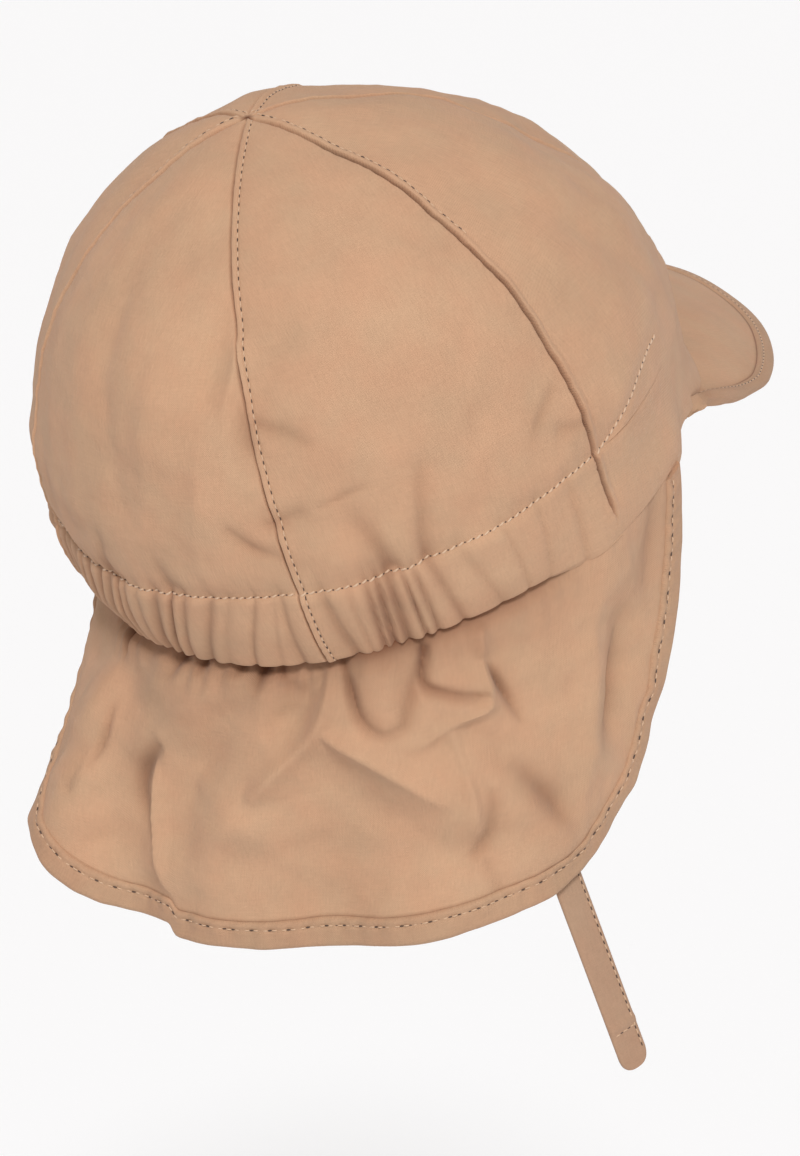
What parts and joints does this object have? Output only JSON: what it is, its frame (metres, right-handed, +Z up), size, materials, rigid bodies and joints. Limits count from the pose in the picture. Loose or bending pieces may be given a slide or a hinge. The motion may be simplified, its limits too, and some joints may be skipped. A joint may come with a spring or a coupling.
{
  "type": "legionnaire cap",
  "caption": "Soft cotton sun cap with a curved visor, a gathered elastic back, a bound neck flap and a chin strap.",
  "frame": {"origin": "middle of the head opening, level with the stitching above the elastic channel, where the head carries the cap", "axes": "+Z up on a worn, level head; -Y ahead, where the visor points; -X towards the wearer's right"},
  "size_m": [0.1779, 0.2241, 0.2345],
  "materials": {
    "cotton": "plain woven cotton, matt with a faint sheen",
    "binding": "folded cotton binding with a row of stitching",
    "fastener": "woven nylon hook and loop tape, matt"
  },
  "bodies": {
    "root": {"back_panel_right": "cotton", "back_panel_left": "cotton", "front_panel_right": "cotton", "front_panel_left": "cotton", "neck_flap": "cotton", "flap_binding": "binding", "visor": "cotton", "visor_binding": "binding", "chin_strap": "binding", "chin_strap_tab": "binding", "strap_hook_patch": "fastener", "tab_loop_patch": "fastener"}
  },
  "joints": []
}
